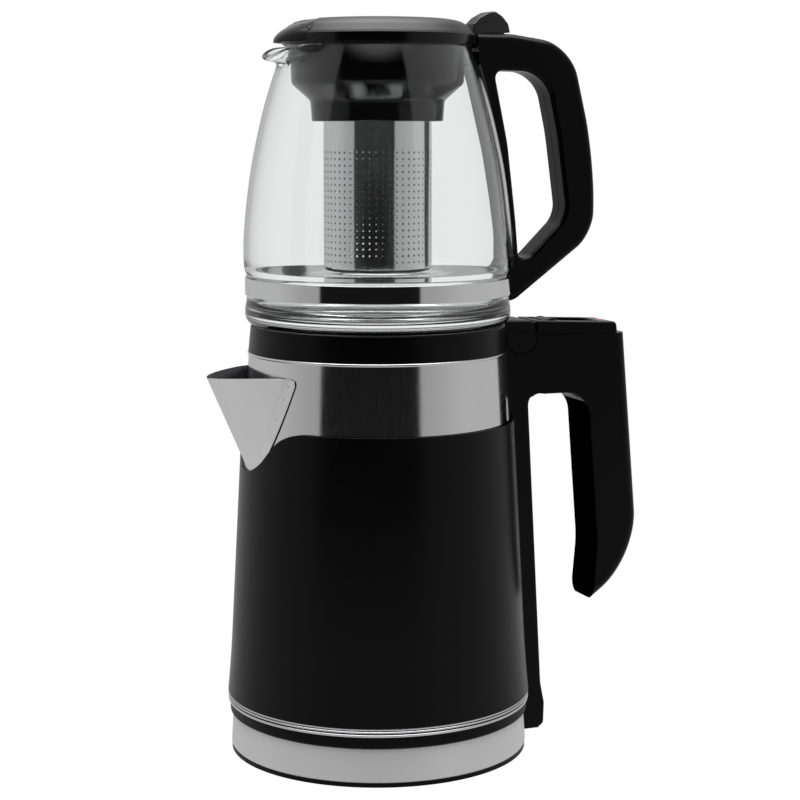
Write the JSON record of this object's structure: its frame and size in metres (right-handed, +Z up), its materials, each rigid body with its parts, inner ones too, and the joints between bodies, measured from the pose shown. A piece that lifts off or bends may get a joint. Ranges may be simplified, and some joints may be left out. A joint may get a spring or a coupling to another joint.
{
  "type": "tea maker",
  "caption": "Cordless kettle on a round power base with a glass teapot, infuser and lid stacked on its lid; handles at the back.",
  "frame": {"origin": "on the surface that the base stands on, on the axis of the kettle", "axes": "+Z up along the kettle's axis; +X towards both handles; both spouts point along -X"},
  "size_m": [0.2301, 0.153, 0.3694],
  "materials": {
    "black_floor": "fine matt moulding",
    "rubber": "soft matt",
    "brushed_steel": "vertical brushed, near mirror",
    "brass": "plain contact metal",
    "zinc_screw": "zinc plated",
    "bright_trim": "polished",
    "jacket_black": "satin black coat",
    "vessel_steel": "polished band",
    "aluminium": "cast",
    "white_moulding": "heat resistant moulding",
    "handle_black": "satin gloss black",
    "lid_black": "satin black",
    "silicone": "translucent grey",
    "lens_amber": "clear tinted",
    "wire_sleeve": "glass fibre sleeve",
    "clear_glass": "clear blown glass",
    "infuser_black": "smoke black",
    "basket_steel": "perforated sheet"
  },
  "bodies": {
    "base": {"base_floor": "black_floor", "rubber_feet": "rubber", "base_skirt": "brushed_steel", "base_deck": "black_floor", "base_connector": "black_floor", "base_contacts": "brass", "base_screws": "zinc_screw", "cord_gland": "black_floor"},
    "kettle_socket": {"kettle_socket": "black_floor", "socket_contacts": "brass"},
    "kettle": {"kettle_floor": "black_floor", "trim_ring": "bright_trim", "jacket": "jacket_black", "inner_vessel": "vessel_steel", "heater_plate": "vessel_steel", "heating_element": "aluminium", "thermostat_control": "white_moulding", "spout": "vessel_steel", "kettle_lid": "lid_black", "lid_pan": "vessel_steel", "lid_seal": "silicone", "kettle_lid_pin": "zinc_screw", "spine": "handle_black", "handle_body": "handle_black", "grip_cover": "handle_black", "handle_cap": "handle_black", "switch_frame": "handle_black", "switch_pin": "zinc_screw", "switch_contacts": "white_moulding", "indicator_lens": "lens_amber", "handle_screws": "zinc_screw", "handle_wiring": "wire_sleeve"},
    "rocker": {"rocker_switch": "handle_black"},
    "teapot": {"glass_body": "clear_glass", "steel_band": "bright_trim", "band_stud": "zinc_screw", "neck_pad": "silicone", "teapot_handle_left": "handle_black", "teapot_handle_right": "handle_black", "teapot_handle_screws": "zinc_screw", "teapot_lid_pin": "zinc_screw"},
    "teapot_lid": {"teapot_lid": "lid_black", "lid_plug": "lid_black", "lid_tab": "lid_black"},
    "infuser": {"infuser_holder": "infuser_black", "infuser_basket": "basket_steel", "infuser_floor": "infuser_black"}
  },
  "joints": [
    {"name": "kettle_lift", "type": "slide", "parent": "base", "child": "kettle_socket", "axis": [0, 0, 1], "range_m": [0, 0.04]},
    {"name": "kettle_turn", "type": "hinge", "parent": "kettle_socket", "child": "kettle", "pos_m": [0, 0, 0.03], "axis": [0, 0, 1], "continuous": true},
    {"name": "rocker_tilt", "type": "hinge", "parent": "kettle", "child": "rocker", "pos_m": [0.101, 0, 0.2112], "axis": [0, 1, 0], "range_deg": [-10, 0]},
    {"name": "teapot_lift", "type": "slide", "parent": "kettle", "child": "teapot", "axis": [0, 0, 1], "range_m": [0, 0.08]},
    {"name": "lid_open", "type": "hinge", "parent": "teapot", "child": "teapot_lid", "pos_m": [0.0651, 0, 0.3543], "axis": [0, 1, 0], "range_deg": [0, 80]},
    {"name": "infuser_turn", "type": "hinge", "parent": "teapot", "child": "infuser", "pos_m": [0, 0, 0.3516], "axis": [0, 0, 1], "continuous": true}
  ]
}
